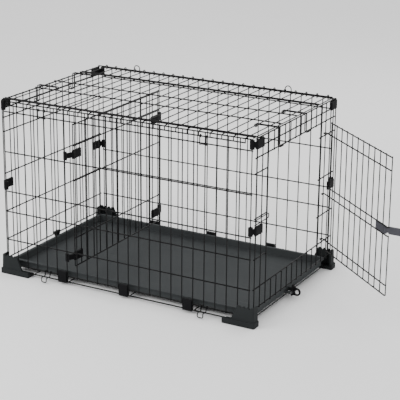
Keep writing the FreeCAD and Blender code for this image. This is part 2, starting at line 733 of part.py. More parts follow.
def rail_clip(x, side):
    """Moulded bracket round a long panel's bottom rail and the base grid's rail."""
    y = side * LONG_RAIL_Y
    half = RAIL_D / 2 + RAIL_CLIP_WALL
    low = BASE_Z - RAIL_D / 2 - RAIL_CLIP_FLOOR
    high = FOOT_RAIL_Z + RAIL_CLIP_RISE
    start = vec(x - RAIL_CLIP_W / 2, y - half, low)
    body = Part.makeBox(RAIL_CLIP_W, 2 * half, high - low, start)
    long_edges = [e for e in body.Edges if abs(e.BoundBox.XLength - RAIL_CLIP_W) < 1e-6]
    body = body.makeFillet(RAIL_CLIP_ROUND, long_edges)
    for z in (BASE_Z, FOOT_RAIL_Z):
        body = body.cut(level_hole(vec(x - RAIL_CLIP_W, y, z), X_AXIS, 2 * RAIL_CLIP_W, CLIP_PLAY))
    return one(body)


def tray():
    """Pan with a raised wall, an outward rim, and two ears for the pull."""
    inner_end = TRAY_END - TRAY_RIM
    inner_half = TRAY_HALF - TRAY_RIM
    top = TRAY_Z + TRAY_H
    pan = rounded_box(-inner_end, inner_end, inner_half, TRAY_Z, top, TRAY_CORNER_R)
    rim = rounded_box(-TRAY_END, TRAY_END, TRAY_HALF, top - TRAY_RIM_T, top, TRAY_CORNER_R + TRAY_RIM)
    hollow_end = inner_end - TRAY_WALL
    hollow_half = inner_half - TRAY_WALL
    hollow_r = TRAY_CORNER_R - TRAY_WALL
    hollow = rounded_box(-hollow_end, hollow_end, hollow_half, TRAY_Z + TRAY_WALL, top + CUT_PAST, hollow_r)
    body = pan.fuse(rim).cut(hollow)
    for y in (PULL_Y - EAR_Y, PULL_Y + EAR_Y):
        ear_start = vec(inner_end - TRAY_WALL / 2, y - PULL_EAR / 2, PULL_Z - PULL_EAR_R)
        ear = Part.makeBox(PULL_X - ear_start.x, PULL_EAR, 2 * PULL_EAR_R, ear_start)
        nose = Part.makeCylinder(PULL_EAR_R, PULL_EAR, vec(PULL_X, y - PULL_EAR / 2, PULL_Z), Y_AXIS)
        body = body.fuse(ear).fuse(nose)
    bore_start = vec(PULL_X, PULL_Y - PULL_W, PULL_Z)
    body = body.cut(Part.makeCylinder(PULL_PIN_R + PIN_PLAY, 2 * PULL_W, bore_start, Y_AXIS))
    return one(body)


def pull_pin():
    """Pin through the tray's ears."""
    half = EAR_Y + PULL_EAR / 2
    return Part.makeCylinder(PULL_PIN_R, 2 * half, vec(PULL_X, PULL_Y - half, PULL_Z), Y_AXIS)


def tray_pull():
    """Pull with a pointed tongue up the tray's end, and a web that carries a finger ring outwards."""
    half = PULL_W / 2
    tip = PULL_TIP_W / 2
    face = PULL_X - PULL_T / 2
    shoulder = PULL_Z + PULL_SHOULDER
    peak = PULL_Z + PULL_TONGUE
    outline = [
        vec(face, PULL_Y - half, PULL_Z - PULL_HEEL),
        vec(face, PULL_Y + half, PULL_Z - PULL_HEEL),
        vec(face, PULL_Y + half, shoulder),
        vec(face, PULL_Y + tip, peak),
        vec(face, PULL_Y - tip, peak),
        vec(face, PULL_Y - half, shoulder),
    ]
    body = polygon(outline).extrude(vec(PULL_T, 0, 0))
    body = body.fuse(Part.makeCylinder(PULL_EAR_R, PULL_W, vec(PULL_X, PULL_Y - half, PULL_Z), Y_AXIS))
    centre = vec(PULL_X + PULL_RING_R, PULL_Y - PULL_RING_D / 2, PULL_Z)
    web = [
        vec(PULL_X, centre.y, PULL_Z - PULL_HEEL),
        centre - Z_AXIS * PULL_RING_R,
        centre + Z_AXIS * PULL_RING_R,
        vec(PULL_X, centre.y, peak - PULL_T),
    ]
    ring = Part.makeCylinder(PULL_RING_R, PULL_RING_D, centre, Y_AXIS)
    ring = ring.fuse(polygon(web).extrude(vec(0, PULL_RING_D, 0)))
    hole = Part.makeCylinder(PULL_RING_R - PULL_RING_D, PULL_RING_D, centre, Y_AXIS)
    body = body.fuse(ring).cut(hole)
    bore_start = vec(PULL_X, PULL_Y - PULL_W, PULL_Z)
    return one(body.cut(Part.makeCylinder(PULL_PIN_R + PIN_PLAY, 2 * PULL_W, bore_start, Y_AXIS)))


def tray_stop():
    """Moulded stop on the left end panel's bottom rail, behind the tray."""
    y = end_y(END_SPACES / 2)
    half = STOP_W / 2
    tip = STOP_TIP_W / 2
    outer = -END_RAIL_X - STOP_T
    inner = -TRAY_END - SEAT
    high = END_FOOT_Z + STOP_T
    low = END_FOOT_Z - STOP_DROP
    outline = [
        vec(outer, y - half, high),
        vec(outer, y + half, high),
        vec(outer, y + tip, low),
        vec(outer, y - tip, low),
    ]
    body = polygon(outline).extrude(vec(inner - outer, 0, 0))
    start = vec(-END_RAIL_X, y - STOP_W, END_FOOT_Z)
    return one(body.cut(level_hole(start, Y_AXIS, 2 * STOP_W, CLIP_PLAY)))


def foot_ring(back, x, y, z):
    """Level outline of a foot, with a round outer corner."""
    inside_y = FOOT_RETURN - LONG_Y
    turn = vec(x - FOOT_EDGE_R, FOOT_EDGE_R - y, z)
    corner = arc(turn, FOOT_EDGE_R, -90, 0, BEND_LINKS, X_AXIS, Y_AXIS)
    return [vec(back, -y, z)] + corner + [vec(x, inside_y, z), vec(back, inside_y, z)]


def foot(side_x, side_y):
    """Corner boot: a plinth under the base rail, and flared walls with a toothed top outside the panels."""
    wall_x = END_X + MESH_D / 2 + FOOT_PLAY
    wall_y = LONG_Y + MESH_D / 2 + FOOT_PLAY
    top_x = wall_x + FOOT_WALL
    top_y = wall_y + FOOT_WALL
    low_x = top_x + FOOT_FLARE
    low_y = top_y + FOOT_FLARE
    out_x = low_x + FOOT_PLINTH_OUT
    out_y = low_y + FOOT_PLINTH_OUT
    back = out_x - FOOT_LENGTH
    back_high = back + FOOT_TAPER
    plinth = skin([foot_ring(back, out_x, out_y, 0), foot_ring(back, out_x, out_y, FOOT_PLINTH_H)])
    wall_foot = foot_ring(back + FOOT_STEP, low_x, low_y, 0)
    wall = skin([wall_foot, foot_ring(back_high, top_x, top_y, FOOT_H)])
    inner = vec(back - CUT_PAST, -wall_y, SOLE_T)
    room = Part.makeBox(wall_x - inner.x, wall_y - LONG_Y + FOOT_RETURN + CUT_PAST, FOOT_H, inner)
    body = plinth.fuse(wall).cut(room)
    step = (top_x - back_high) / (FOOT_TEETH + 1)
    for k in range(FOOT_TEETH):
        x = back_high + step * (k + 1)
        notch = polygon([
            vec(x - FOOT_TOOTH_W / 2, -low_y, FOOT_H),
            vec(x + FOOT_TOOTH_W / 2, -low_y, FOOT_H),
            vec(x, -low_y, FOOT_H - FOOT_TOOTH_H),
        ])
        body = body.cut(notch.extrude(vec(0, low_y - wall_y + CUT_PAST, 0)))
    body = one(body)
    if side_x < 0:
        body = body.mirror(vec(0, 0, 0), X_AXIS)
    if side_y > 0:
        body = body.mirror(vec(0, 0, 0), Y_AXIS)
    return body


NODES["front_panel"] = long_panel(-1)
NODES["back_panel"] = long_panel(1)
NODES["left_end"] = left_end()
NODES["right_end"] = right_end()
NODES["top_panel"] = top_panel()
NODES["base_grid"] = base_grid()
NODES["tray"] = [tray()]
NODES["tray_pull"] = [tray_pull()]
NODES["pull_pin"] = [pull_pin()]
NODES["tray_stop"] = [tray_stop()]
NODES["door"] = door()
NODES["door_catch"] = door_catch()
NODES["latch_housing"] = [latch_housing()]
NODES["latch_pin"] = [latch_pin()]
NODES["latch_lever"] = [latch_lever()]
NODES["divider"] = divider()
for face, side_y in (("front", -1), ("back", 1)):
    NODES[f"divider_clip_{face}_low"] = [divider_clip(side_y, SILL_Z - DIVIDER_CLIP_STEP)]
    NODES[f"divider_clip_{face}_high"] = [divider_clip(side_y, HIGH_Z + DIVIDER_CLIP_STEP)]
    for hand, side_x in (("left", -1), ("right", 1)):
        NODES[f"foot_{face}_{hand}"] = [foot(side_x, side_y)]
        NODES[f"corner_clip_{face}_{hand}_mid"] = [corner_clip(side_x, side_y, CLIP_MID_Z)]
        NODES[f"corner_clip_{face}_{hand}_top"] = [corner_clip(side_x, side_y, CLIP_TOP_Z)]
        NODES[f"base_loop_{face}_{hand}"] = base_loop(side_x, side_y)
    for place, x in zip(("left", "middle", "right"), RAIL_CLIP_PLACES):
        NODES[f"rail_clip_{face}_{place}"] = [rail_clip(x, side_y)]
for hand, side_x, spaces in (("left", -1, HOOK_LEFT_SPACES), ("right", 1, HOOK_RIGHT_SPACES)):
    NODES[f"back_loop_{hand}"] = back_loop(side_x)
    NODES[f"front_hook_{hand}"] = front_hook(side_x)
    NODES[f"end_hook_{hand}_front"] = end_hook(side_x, spaces[0])
    NODES[f"end_hook_{hand}_back"] = end_hook(side_x, spaces[1])

# The open door makes the object lopsided, so everything moves to put the box's bottom centre at the origin
BOX = Part.makeCompound([solid for solids in NODES.values() for solid in solids]).optimalBoundingBox(False)
SHIFT = vec(-BOX.Center.x, -BOX.Center.y, -BOX.ZMin)
os.makedirs("parts", exist_ok=True)
for name, solids in NODES.items():
    shape = solids[0] if len(solids) == 1 else Part.makeCompound(solids)
    shape.translate(SHIFT)
    shape.exportStep(f"parts/{name}.step")
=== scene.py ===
import json
import math

import bpy
import numpy as np
from mathutils import Matrix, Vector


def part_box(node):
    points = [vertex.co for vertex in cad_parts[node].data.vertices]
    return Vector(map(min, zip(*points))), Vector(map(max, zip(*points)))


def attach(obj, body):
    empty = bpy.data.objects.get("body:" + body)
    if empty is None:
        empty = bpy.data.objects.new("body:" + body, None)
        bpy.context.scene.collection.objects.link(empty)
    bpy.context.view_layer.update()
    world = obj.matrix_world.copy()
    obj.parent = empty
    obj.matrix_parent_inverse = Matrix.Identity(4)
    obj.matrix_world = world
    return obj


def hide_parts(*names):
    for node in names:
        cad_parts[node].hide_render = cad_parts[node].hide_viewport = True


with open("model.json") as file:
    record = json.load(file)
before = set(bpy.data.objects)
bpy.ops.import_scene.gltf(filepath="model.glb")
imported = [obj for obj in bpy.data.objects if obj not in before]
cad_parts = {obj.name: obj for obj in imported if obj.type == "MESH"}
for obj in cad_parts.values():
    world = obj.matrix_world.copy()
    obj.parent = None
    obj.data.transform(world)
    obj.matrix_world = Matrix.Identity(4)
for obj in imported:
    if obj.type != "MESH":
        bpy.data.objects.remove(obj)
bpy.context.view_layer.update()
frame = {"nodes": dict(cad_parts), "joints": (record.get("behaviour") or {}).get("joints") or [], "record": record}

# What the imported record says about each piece
RECORD = frame["record"]
BODY_OF = {node: body for body, nodes in RECORD["behaviour"]["bodies"].items() for node in nodes}
SLOT_OF = {part["node"]: part["material_slot"] for part in RECORD["subparts"]}
PIVOT = {joint["name"]: np.array(joint["pos_m"]) for joint in frame["joints"] if "pos_m" in joint}
DOOR_OPEN = -next(joint for joint in frame["joints"] if joint["name"] == "door_hinge")["range_deg"][0]

X_AXIS, Y_AXIS, Z_AXIS = np.eye(3)

# Wires: radii, the depth of a weld, and from middle to middle of a mesh wire and its rail, in metres
MESH_R = 0.0017
RAIL_R = 0.0021
LOOP_R = 0.0016
HOOK_R = 0.0016
WELD = 0.0001
LAYER = MESH_R + RAIL_R - WELD

# Sides of the CAD model's straight wires, which are prisms
MESH_SIDES = 8
RAIL_SIDES = 10

# Round wires: sides, and degrees between the rings of a bend
WIRE_SIDES = 12
TURN_STEP = 12.0

# Cut ends: bevel and taper as shares of the radius, and the least angle of a sharp edge in degrees
END_BEVEL = 0.35
END_TAPER = 0.72
SHARP_ANGLE = 40.0

# Degrees that an eye or a curl goes round
CURL_TURN = 260.0

# A run that climbs more than this share of its length is upright
UPRIGHT_SHARE = 0.9

# Least divisor where two runs are parallel
PARALLEL = 1e-12

# Weld beads where two wires cross: half length, half depth, corners round and levels
BEAD_LENGTH = 0.0024
BEAD_DEPTH = 0.0011
BEAD_ROUND = 8
BEAD_STACK = 4

# Top: level of the cross wires over the hinge rail's middle, bends into the hinge loops, and the front lip
TOP_LEVEL = 0.0044
TOP_LOOP_R = 0.0068
TOP_RISE_R = 0.005
LIP_BEND = 0.005
LIP_RAIL_RISE = 0.003

# Door hinge curls
DOOR_CURL_R = 0.0052

# End hooks
HOOK_EYE_R = 0.00404
HOOK_REACH = 0.076
HOOK_DROP = 0.0475
HOOK_HALF = 0.005
HOOK_BEND = 0.006
HOOK_CURL_R = 0.007

# Front hooks and back loops
FRONT_EYE_R = 0.00441
FRONT_LEG = 0.026
FRONT_BEND = 0.003
LOOP_HALF = 0.011

# Base hooks
BASE_EYE_R = 0.00411
BASE_HALF = 0.0095
BASE_NECK = 0.0085
BASE_BEND = 0.004
BASE_OUT = 0.022
BASE_DROP = 0.0265
BASE_CORNER = 0.005

# Edges of the moulded pieces: width and steps of the rounding, then angles in degrees
EDGE_ROUND = {"foot": 0.0014, "clip": 0.0009, "latch": 0.0009, "tray": 0.0012, "pin": 0.0004}
EDGE_STEPS = 2
EDGE_ANGLE = 35.0
FLAT_ANGLE = 1.0

# Corners of the CAD model closer than this are one corner, in moulded pieces and in wires
JOIN_DISTANCE = 1e-5
GRAIN = 7.3e-6

# Strength of each finer layer of noise beside the layer before it
NOISE_GRIT = 0.55

# Studio
FLOOR_HALF = 14.0
FLOOR_TONE = 0.95
FLOOR_MOTTLE = 0.02
SKY_TONE = 1.0
SKY_STRENGTH = 1.2

# Camera: place in metres, turns in degrees, lens and sensor in millimetres
EYE = (1.96478, -3.70337, 1.66073)
EYE_YAW = -28.933
EYE_PITCH = 18.228
EYE_ROLL = 0.527
LENS_MM = 122.609
SENSOR_MM = 36.0


class Shade:
    """A value on its way through a finish. An expression on it adds its Math nodes."""

    def __init__(self, finish, socket):
        self.finish = finish
        self.socket = socket

    def math(self, operation, first, second):
        """One Math node on two values."""
        return self.finish.node("ShaderNodeMath", {"operation": operation}, {0: first, 1: second})

    def __add__(self, other):
        return self.math("ADD", self, other)

    def __radd__(self, other):
        return self.math("ADD", other, self)

    def __sub__(self, other):
        return self.math("SUBTRACT", self, other)

    def __rsub__(self, other):
        return self.math("SUBTRACT", other, self)

    def __mul__(self, other):
        return self.math("MULTIPLY", self, other)

    def __rmul__(self, other):
        return self.math("MULTIPLY", other, self)


class Finish:
    """A material with a Principled shader, whose nodes come from node()."""

    def __init__(self, name):
        self.material = bpy.data.materials.new(name)
        self.material.use_nodes = True
        self.tree = self.material.node_tree
        self.shader = next(n for n in self.tree.nodes if n.type == "BSDF_PRINCIPLED")

    def node(self, kind, settings, inputs, output=0):
        """Adds a node: its settings first, then the values or links of its sockets."""
        made = self.tree.nodes.new(kind)
        for key, value in settings.items():
            setattr(made, key, value)
        self.feed(made, inputs)
        return Shade(self, made.outputs[output])

    def feed(self, made, inputs):
        """Sets or links a node's sockets."""
        for key, value in inputs.items():
            if isinstance(value, Shade):
                self.tree.links.new(value.socket, made.inputs[key])
            else:
                made.inputs[key].default_value = value

    def place(self):
        """The point on the piece, in metres."""
        return self.node("ShaderNodeTexCoord", {}, {}, "Object")

    def noise(self, waves, detail=3.0):
        """Smooth noise from 0 to 1, with so many waves to the metre."""
        inputs = {"Vector": self.place(), "Scale": waves, "Detail": detail, "Roughness": NOISE_GRIT}
        return self.node("ShaderNodeTexNoise", {}, inputs, "Fac")

    def streaks(self, waves, detail):
        """Noise with its own count of waves to the metre along each axis."""
        inputs = {"Vector": self.place(), "Scale": waves}
        stretched = self.node("ShaderNodeMapping", {}, inputs)
        inputs = {"Vector": stretched, "Scale": 1.0, "Detail": detail}
        return self.node("ShaderNodeTexNoise", {}, inputs, "Fac")

    def cells(self, count):
        """Distance to the nearest of scattered points, so many to the metre, for moulded grain."""
        inputs = {"Vector": self.place(), "Scale": count}
        return self.node("ShaderNodeTexVoronoi", {}, inputs, "Distance")

    def clamped(self, value, low, high):
        """Value stretched so that low becomes 0 and high becomes 1, and clamped."""
        inputs = {"Value": value, "From Min": low, "From Max": high}
        return self.node("ShaderNodeMapRange", {"clamp": True}, inputs, "Result")

    def blend(self, factor, dark, light):
        """Mix of two colours."""
        inputs = {"Factor": factor, 6: (*dark, 1.0), 7: (*light, 1.0)}
        return self.node("ShaderNodeMix", {"data_type": "RGBA"}, inputs, 2)

    def bump(self, height, strength, depth):
        """Normal of a surface raised by height, which stands for so much depth in metres."""
        inputs = {"Strength": strength, "Distance": depth, "Height": height}
        return self.node("ShaderNodeBump", {}, inputs, "Normal")

    def finish(self, **inputs):
        """Feeds the shader, whose socket names are written with underscores, and returns the material."""
        self.feed(self.shader, {key.replace("_", " "): value for key, value in inputs.items()})
        return self.material


def wire_coat():
    """Satin black coating on wire: slight orange peel, duller patches and a little dust."""
    coat = Finish("wire_coat")
    patches = coat.noise(waves=26.0)
    peel = coat.noise(waves=900.0, detail=2.0)
    dust = coat.clamped(coat.noise(waves=140.0, detail=5.0), low=0.52, high=0.86)
    mix = dust * 0.5 + patches * 0.25
    return coat.finish(
        Base_Color=coat.blend(mix, dark=(0.002, 0.002, 0.0022), light=(0.009, 0.009, 0.0095)),
        Roughness=0.36 + patches * 0.12 + dust * 0.12,
        Specular_IOR_Level=0.12,
        Normal=coat.bump(peel, strength=0.18, depth=0.0002),
    )


def moulded(name, dark, light, grain, rough, sheen):
    """Moulded plastic: fine leather grain, faint flow marks and a dry sheen."""
    plastic = Finish(name)
    flow = plastic.noise(waves=11.0, detail=4.0)
    speck = plastic.noise(waves=420.0)
    pits = plastic.cells(grain)
    colour = plastic.blend(flow * 0.7 + speck * 0.3, dark, light)
    height = pits * 0.6 + speck * 0.4
    return plastic.finish(
        Base_Color=colour,
        Roughness=rough + speck * 0.14 - flow * 0.06,
        Specular_IOR_Level=sheen,
        Normal=plastic.bump(height, strength=0.22, depth=0.0004),
    )


def tray_plastic():
    """Thin moulded tray: fine grain, and long scuffs along the way it slides."""
    plastic = Finish("tray_plastic")
    flow = plastic.noise(waves=5.0, detail=4.0)
    grain = plastic.cells(620.0)
    scuff = plastic.clamped(plastic.streaks(waves=(3.0, 160.0, 160.0), detail=4.0), low=0.60, high=0.82)
    mix = flow * 0.6 + scuff * 0.4
    return plastic.finish(
        Base_Color=plastic.blend(mix, dark=(0.0355, 0.0388, 0.0400), light=(0.0655, 0.0705, 0.0725)),
        Roughness=0.50 + flow * 0.10 - scuff * 0.08,
        Specular_IOR_Level=0.03,
        Normal=plastic.bump(grain + scuff * 0.3, strength=0.16, depth=0.0004),
    )


def pin_steel():
    """Plain drawn steel for pins: fine scratches and a faint stain."""
    steel = Finish("pin_steel")
    scratches = steel.noise(waves=1500.0, detail=2.0)
    stain = steel.noise(waves=90.0)
    return steel.finish(
        Base_Color=steel.blend(stain, dark=(0.36, 0.36, 0.37), light=(0.52, 0.52, 0.53)),
        Metallic=1.0,
        Roughness=0.28 + scratches * 0.16,
        Normal=steel.bump(scratches, strength=0.10, depth=0.0001),
    )


def foot_plastic():
    """Dark slate plastic of the corner feet."""
    dark, light = (0.0115, 0.0129, 0.0133), (0.0265, 0.0290, 0.0297)
    return moulded("foot_plastic", dark, light, grain=700.0, rough=0.5, sheen=0.04)


def clip_plastic():
    """Black plastic of the clips."""
    dark, light = (0.0045, 0.0045, 0.005), (0.011, 0.011, 0.012)
    return moulded("clip_plastic", dark, light, grain=900.0, rough=0.45, sheen=0.03)


def latch_plastic():
    """Slate grey plastic of the door latch."""
    dark, light = (0.034, 0.034, 0.042), (0.065, 0.065, 0.076)
    return moulded("latch_plastic", dark, light, grain=900.0, rough=0.42, sheen=0.2)


FINISH = {
    "wire": wire_coat(),
    "tray": tray_plastic(),
    "foot": foot_plastic(),
    "clip": clip_plastic(),
    "latch": latch_plastic(),
    "pin": pin_steel(),
}


def cad_corners(node):
    """Corners of a CAD node, each with the label of its solid. Solids that share corners have one label.

    Triangles are joined at their rounded corners, then each edge hands on the lower label until all agree.
    """
    mesh = frame["nodes"][node].data
    places = np.empty(3 * len(mesh.vertices))
    mesh.vertices.foreach_get("co", places)
    corners = np.empty(len(mesh.loops), int)
    mesh.loops.foreach_get("vertex_index", corners)
    places = places.reshape(-1, 3)
    cells = np.round(places / GRAIN).astype(np.int64)
    _, first, joined = np.unique(cells, axis=0, return_index=True, return_inverse=True)
    triangles = joined.reshape(-1)[corners].reshape(-1, 3)
    edges = np.concatenate([triangles[:, :2], triangles[:, 1:]])
    label = np.arange(len(first))
    settled = False
    while not settled:
        lower = label.copy()
        low = label[edges].min(axis=1)
        np.minimum.at(lower, edges[:, 0], low)
        np.minimum.at(lower, edges[:, 1], low)
        settled = np.array_equal(lower, label)
        label = lower
    return places[first], label


def solids_with(node, count):
    """Corners of each solid of a node that has so many corners, as one array: solid, corner, axis."""
    places, label = cad_corners(node)
    names, sizes = np.unique(label, return_counts=True)
    keep = np.isin(label, names[sizes == count])
    order = np.argsort(label[keep], kind="stable")
    return places[keep][order].reshape(-1, count, 3)


def straight_wires(node, sides):
    """Ends of each straight wire of a node: the longest direction of its corners, through their middle."""
    solids = solids_with(node, 2 * sides)
    middle = solids.mean(axis=1, keepdims=True)
    run = np.linalg.svd(solids - middle, full_matrices=False)[2][:, 0]
    along = np.einsum("wcx,wx->wc", solids - middle, run)
    reach = np.stack([along.min(axis=1), along.max(axis=1)], axis=1)
    return middle + reach[:, :, None] * run[:, None, :]


def bent_wire_places(node, axis):
    """Middle of each bent wire of a node along one axis: solids with more corners than a straight wire."""
    places, label = cad_corners(node)
    names, sizes = np.unique(label, return_counts=True)
    bent = names[sizes > 2 * RAIL_SIDES]
    return np.array([places[label == name, axis].mean() for name in bent])


def turn(centre, radius, first, last, u, v):
    """Arc: centre + radius (u cos t + v sin t), for t from first to last in degrees."""
    count = 1 + math.ceil(abs(last - first) / TURN_STEP)
    t = np.radians(np.linspace(first, last, count))[:, None]
    return centre + radius * (np.cos(t) * u + np.sin(t) * v)


def round_wires(paths, radius, flat):
    """Round wires on flat paths: the ring at p is p + r (n cos a + s sin a), n the normal, s = run x n.

    The radius shrinks at the two ends, which flat faces close.
    """
    paths = np.asarray(paths, float)
    flat = np.broadcast_to(flat, (len(paths), 3))[:, None, :]
    run = np.gradient(paths, axis=1)
    run /= np.linalg.norm(run, axis=2, keepdims=True)
    first, last = run[:, :1], run[:, -1:]
    bevel = END_BEVEL * radius
    ends = [paths[:, :1], paths[:, :1] + bevel * first, paths[:, -1:] - bevel * last, paths[:, -1:]]
    points = np.concatenate([*ends[:2], paths[:, 1:-1], *ends[2:]], axis=1)
    run = np.concatenate([first, first, run[:, 1:-1], last, last], axis=1)
    side = np.cross(run, flat)
    size = np.full(points.shape[1], radius)
    size[[0, -1]] *= END_TAPER
    a = np.linspace(0, 2 * np.pi, WIRE_SIDES, endpoint=False)
    arm = np.cos(a)[:, None] * flat[:, :, None, :] + np.sin(a)[:, None] * side[:, :, None, :]
    rings = points[:, :, None, :] + size[:, None, None] * arm
    index = np.arange(rings[..., 0].size).reshape(rings.shape[:3])
    ahead = np.roll(index, -1, axis=2)
    quads = np.stack([index[:, :-1], ahead[:, :-1], ahead[:, 1:], index[:, 1:]], axis=-1)
    caps = np.concatenate([index[:, 0, ::-1], index[:, -1]])
    return rings.reshape(-1, 3), quads.reshape(-1, 4).tolist() + caps.tolist()


def straight_round(ends, radius):
    """Round wires between pairs of ends, each with a normal square to its run."""
    run = ends[:, 1] - ends[:, 0]
    run /= np.linalg.norm(run, axis=1, keepdims=True)
    upright = np.abs(run[:, 2:]) > UPRIGHT_SHARE
    flat = np.cross(run, np.where(upright, X_AXIS, Z_AXIS))
    flat /= np.linalg.norm(flat, axis=1, keepdims=True)
    return round_wires(ends, radius, flat)


def crossings(first, second):
    """Where wires of one set touch wires of another: nearest points of two lines, within both lengths."""
    u = first[:, 1] - first[:, 0]
    v = second[:, 1] - second[:, 0]
    gap = first[:, None, 0] - second[None, :, 0]
    uu, vv = (u * u).sum(1)[:, None], (v * v).sum(1)[None, :]
    uv = u @ v.T
    ug, vg = np.einsum("ix,ijx->ij", u, gap), np.einsum("jx,ijx->ij", v, gap)
    room = np.maximum(uu * vv - uv * uv, PARALLEL)
    s, t = (uv * vg - vv * ug) / room, (uu * vg - uv * ug) / room
    p = first[:, None, 0] + s[..., None] * u[:, None]
    q = second[None, :, 0] + t[..., None] * v[None, :]
    near = np.linalg.norm(p - q, axis=2) < MESH_R + RAIL_R
    hit = near & (s > 0) & (s < 1) & (t > 0) & (t < 1)
    i, j = np.nonzero(hit)
    share = MESH_R / (MESH_R + RAIL_R)
    centre = p[i, j] + share * (q[i, j] - p[i, j])
    along = u[i] / np.linalg.norm(u[i], axis=1, keepdims=True)
    across = v[j] / np.linalg.norm(v[j], axis=1, keepdims=True)
    return centre, along, across


def weld_beads(first, second):
    """Flat ellipsoids on the crossings: c + L (u cos a + v sin a) sin b + D w cos b.

    Triangles close the poles.
    """
    centre, along, across = crossings(first, second)
    through = np.cross(along, across)
    a = np.linspace(0, 2 * np.pi, BEAD_ROUND, endpoint=False)
    b = np.linspace(0, np.pi, BEAD_STACK + 1)[1:-1]
    wide = BEAD_LENGTH * np.sin(b)[:, None]
    u, v = (wide * np.cos(a)).ravel(), (wide * np.sin(a)).ravel()
    w = np.repeat(BEAD_DEPTH * np.cos(b), BEAD_ROUND)
    u, v, w = np.append(u, [0, 0]), np.append(v, [0, 0]), np.append(w, [BEAD_DEPTH, -BEAD_DEPTH])
    corners = centre[:, None] + u[:, None] * along[:, None] + v[:, None] * across[:, None]
    corners = corners + w[:, None] * through[:, None]
    index = np.arange(corners[..., 0].size).reshape(len(centre), -1)
    grid = index[:, :-2].reshape(len(centre), -1, BEAD_ROUND)
    ahead = np.roll(grid, -1, axis=2)
    quads = np.stack([grid[:, :-1], grid[:, 1:], ahead[:, 1:], ahead[:, :-1]], axis=-1).reshape(-1, 4)
    top = np.broadcast_to(index[:, -2:-1], grid[:, 0].shape)
    bottom = np.broadcast_to(index[:, -1:], grid[:, 0].shape)
    tops = np.stack([top, grid[:, 0], ahead[:, 0]], axis=-1).reshape(-1, 3)
    bottoms = np.stack([bottom, ahead[:, -1], grid[:, -1]], axis=-1).reshape(-1, 3)
    return corners.reshape(-1, 3), quads.tolist() + tops.tolist() + bottoms.tolist()


def dressed(node, mesh):
    """Object for a mesh that stands for a CAD node, with its body, slot and finish."""
    made = bpy.data.objects.new(node + "_piece", mesh)
    bpy.context.scene.collection.objects.link(made)
    mesh.materials.clear()
    mesh.materials.append(FINISH[SLOT_OF[node]])
    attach(made, BODY_OF[node])
    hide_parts(node)
    return made


def wire_piece(node, parts):
    """One mesh from several (corners, faces) parts, smooth but for its cut ends."""
    corners, faces, start = [], [], 0
    for places, sides in parts:
        corners.append(places)
        faces += [[start + k for k in side] for side in sides]
        start += len(places)
    mesh = bpy.data.meshes.new(node + "_piece")
    mesh.from_pydata(np.concatenate(corners).tolist(), [], faces)
    mesh.polygons.foreach_set("use_smooth", [True] * len(faces))
    mesh.set_sharp_from_angle(angle=math.radians(SHARP_ANGLE))
    dressed(node, mesh)


def grid_panel(node):
    """Panel of straight wires: mesh wires, rails, and a bead where they cross."""
    mesh_wires, rails = straight_wires(node, MESH_SIDES), straight_wires(node, RAIL_SIDES)
    parts = [straight_round(mesh_wires, MESH_R), straight_round(rails, RAIL_R)]
    wire_piece(node, parts + [weld_beads(mesh_wires, rails)])


def top_panel():
    """Top: cross wires with a tooth over the front edge and a loop round the hinge rail, and the long rails.

    A loop hangs as far below the rail's middle as the cross wires lie above it. The arc that rises into
    a loop touches it, so their middles lie the sum of their radii apart.
    """
    node = "top_panel"
    hinge, lip_rail = PIVOT["top_hinge"], PIVOT["front_hook_left_pivot"]
    lip_y, level = lip_rail[1] + LAYER, hinge[2] + TOP_LEVEL
    tooth = np.array([[0, lip_y, lip_rail[2] - LIP_RAIL_RISE]])
    bend = turn(np.array([0, lip_y + LIP_BEND, level - LIP_BEND]), LIP_BEND, 180, 90, Y_AXIS, Z_AXIS)
    loop = np.array([0, hinge[1], hinge[2] + TOP_LOOP_R - TOP_LEVEL])
    apart, above = TOP_RISE_R + TOP_LOOP_R, TOP_RISE_R + level - loop[2]
    tilt = math.degrees(math.asin(above / apart))
    rise_middle = loop + above * Z_AXIS - math.sqrt(apart**2 - above**2) * Y_AXIS
    rise = turn(rise_middle, TOP_RISE_R, 270, 360 - tilt, Y_AXIS, Z_AXIS)
    curl = turn(loop, TOP_LOOP_R, 180 - tilt, 180 - tilt - CURL_TURN, Y_AXIS, Z_AXIS)
    path = np.concatenate([tooth, bend, rise[:-1], curl])
    rails, side_wires = straight_wires(node, RAIL_SIDES), straight_wires(node, MESH_SIDES)
    paths = path[None] + bent_wire_places(node, 0)[:, None, None] * X_AXIS
    flats = np.stack([paths[:, len(bend)], paths[:, len(bend) + 1]], axis=1)
    teeth = np.stack([paths[:, 0], paths[:, 1]], axis=1)
    parts = [round_wires(paths, MESH_R, X_AXIS)]
    parts += [straight_round(rails, RAIL_R), straight_round(side_wires, MESH_R)]
    parts += [weld_beads(flats, rails), weld_beads(teeth, rails)]
    wire_piece(node, parts)


def door():
    """Door: straight wires from the model, and rails that curl round the hinge upright."""
    node = "door"
    mesh_wires, rails = straight_wires(node, MESH_SIDES), straight_wires(node, RAIL_SIDES)
    hinge = PIVOT["door_hinge"] * (1, 1, 0)
    t = math.radians(DOOR_OPEN)
    out, back = np.array([math.cos(t), math.sin(t), 0]), np.array([-math.sin(t), math.cos(t), 0])
    reach = ((hinge - rails[0]) @ back).max()
    curl = turn(hinge, DOOR_CURL_R, CURL_TURN, 0, out, back)
    path = np.concatenate([curl, [hinge + DOOR_CURL_R * out - reach * back]])
    paths = path[None] + bent_wire_places(node, 2)[:, None, None] * Z_AXIS
    hinged = np.stack([paths[:, -2], paths[:, -1]], axis=1)
    parts = [straight_round(mesh_wires, MESH_R), straight_round(rails, RAIL_R)]
    parts += [round_wires(paths, RAIL_R, Z_AXIS)]
    parts += [weld_beads(mesh_wires, rails), weld_beads(mesh_wires, hinged)]
    wire_piece(node, parts)


